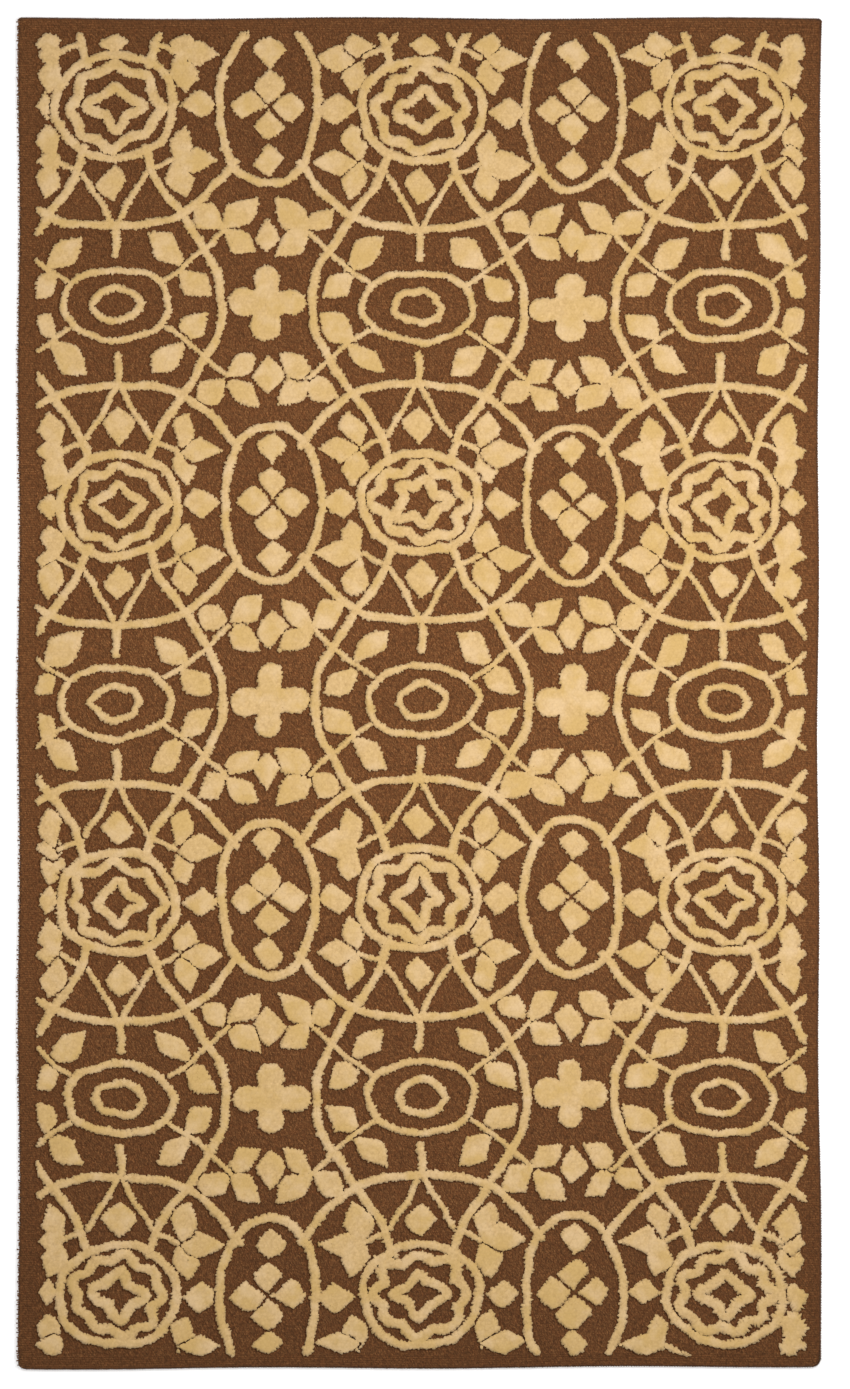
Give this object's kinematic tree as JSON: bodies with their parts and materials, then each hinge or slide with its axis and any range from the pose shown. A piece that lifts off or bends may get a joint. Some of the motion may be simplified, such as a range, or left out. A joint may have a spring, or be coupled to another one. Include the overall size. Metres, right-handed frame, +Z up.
{
  "type": "hooked rug",
  "caption": "Flat rectangular hooked wool rug: a raised cream trellis of rosettes, ovals, leaves and crosses on a short brown pile with a plain border.",
  "frame": {"origin": "centre of the underside's bounding box, on the floor", "axes": "+X across the rug, +Y along its length towards the picture's top edge, +Z up out of the pile"},
  "size_m": [0.911, 1.5314, 0.0115],
  "materials": {
    "brown_wool": "short matt wool pile in mixed browns",
    "cream_wool": "longer soft wool pile in warm cream",
    "foundation_cloth": "coarse plain-woven jute, seen underneath and at the turned edge"
  },
  "bodies": {
    "root": {"rug": "brown_wool"}
  },
  "joints": []
}
